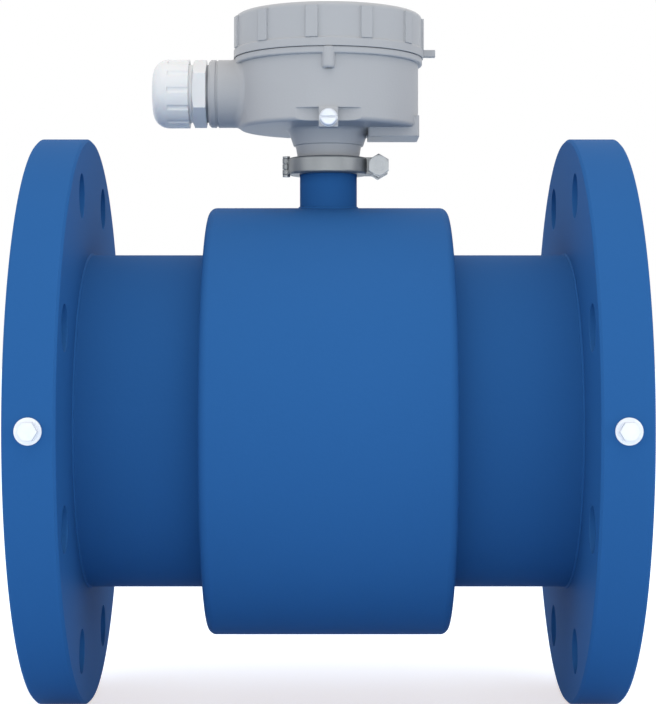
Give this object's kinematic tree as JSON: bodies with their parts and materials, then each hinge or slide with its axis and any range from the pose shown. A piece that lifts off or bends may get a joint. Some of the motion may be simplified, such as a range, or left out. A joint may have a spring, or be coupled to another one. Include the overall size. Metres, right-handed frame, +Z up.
{
  "type": "electromagnetic flow meter",
  "caption": "Flanged magnetic flow sensor for a pipeline, with a round junction box clamped on its neck, a screwed ribbed cover and a side cable gland.",
  "frame": {"origin": "on the pipe axis, half way between the two lining faces", "axes": "+X along the pipe axis from inlet to outlet, +Z up the neck to the junction box, -Y towards the ground screws"},
  "size_m": [0.3, 0.2899, 0.3485],
  "materials": {
    "blue_paint": "satin blue paint on carbon steel",
    "lining": "moulded rubber lining, smooth matt",
    "grey_casting": "light grey satin powder coat on die-cast aluminium",
    "clamp_steel": "dull cast stainless steel",
    "zinc_screw": "bright zinc-plated steel",
    "terminal_brass": "nickel-free brass screws",
    "terminal_plastic": "dark moulded plastic",
    "gland_plastic": "white polyamide",
    "black_rubber": "black rubber",
    "magnet_steel": "soft magnetic steel",
    "coil_winding": "enamelled copper winding, varnished",
    "electrode_steel": "stainless steel",
    "sleeve_plastic": "fluoroplastic insulating sleeve",
    "lead_sheath": "rubber-sheathed lead"
  },
  "bodies": {
    "sensor": {"measuring_tube": "blue_paint", "liner": "lining", "liner_lip_inlet": "lining", "liner_lip_outlet": "lining", "inlet_flange": "blue_paint", "outlet_flange": "blue_paint", "housing_shell": "blue_paint", "housing_end_inlet": "blue_paint", "housing_end_outlet": "blue_paint", "pole_shoe_upper": "magnet_steel", "pole_shoe_lower": "magnet_steel", "pole_core_upper": "magnet_steel", "pole_core_lower": "magnet_steel", "coil_upper": "coil_winding", "coil_lower": "coil_winding", "yoke_ring": "magnet_steel", "electrode_front": "electrode_steel", "electrode_back": "electrode_steel", "electrode_sleeve_front": "sleeve_plastic", "electrode_sleeve_back": "sleeve_plastic", "electrode_nut_front": "electrode_steel", "electrode_nut_back": "electrode_steel", "neck_tube": "blue_paint", "neck_gasket": "black_rubber", "neck_grommet": "black_rubber", "sensor_lead": "lead_sheath", "clamp_front_half": "clamp_steel", "clamp_rear_half": "clamp_steel", "clamp_hinge_pin": "clamp_steel", "clamp_bolt": "clamp_steel", "clamp_nut": "clamp_steel", "ground_screw_inlet": "zinc_screw", "ground_screw_outlet": "zinc_screw", "ground_washer_inlet": "zinc_screw", "ground_washer_outlet": "zinc_screw"},
    "junction_head": {"box_body": "grey_casting", "terminal_block": "terminal_plastic", "terminal_screw_1": "terminal_brass", "terminal_screw_2": "terminal_brass", "terminal_screw_3": "terminal_brass", "terminal_screw_4": "terminal_brass", "terminal_screw_5": "terminal_brass", "terminal_fixing_screw_1": "zinc_screw", "terminal_fixing_screw_2": "zinc_screw", "case_ground_screw": "zinc_screw", "case_ground_washer": "zinc_screw", "inner_ground_screw": "zinc_screw", "cover_lock_screw": "zinc_screw", "gland_washer": "black_rubber", "gland_body": "gland_plastic"},
    "cover_seal": {"cover_seal": "black_rubber"},
    "cover": {"box_cover": "grey_casting"},
    "gland_bush": {"gland_bush": "black_rubber"},
    "gland_nut": {"gland_nut": "gland_plastic"}
  },
  "joints": [
    {"name": "head_swivel", "type": "hinge", "parent": "sensor", "child": "junction_head", "pos_m": [0, 0, 0.1292], "axis": [0, 0, 1], "range_deg": [-170, 170]},
    {"name": "cover_turn", "type": "hinge", "parent": "junction_head", "child": "cover_seal", "pos_m": [0, 0, 0.1864], "axis": [0, 0, 1], "range_deg": [0, 1440]},
    {"name": "cover_travel", "type": "slide", "parent": "cover_seal", "child": "cover", "axis": [0, 0, 1], "range_m": [0, 0.008]},
    {"name": "gland_turn", "type": "hinge", "parent": "junction_head", "child": "gland_bush", "pos_m": [-0.0775, 0, 0.1664], "axis": [-1, 0, 0], "range_deg": [0, 1440]},
    {"name": "gland_travel", "type": "slide", "parent": "gland_bush", "child": "gland_nut", "axis": [-1, 0, 0], "range_m": [0, 0.006]}
  ],
  "couplings": [
    {"joint": "cover_travel", "follows": "cover_turn", "m_per_rad": 0.00031831},
    {"joint": "gland_travel", "follows": "gland_turn", "m_per_rad": 0.00023873}
  ]
}
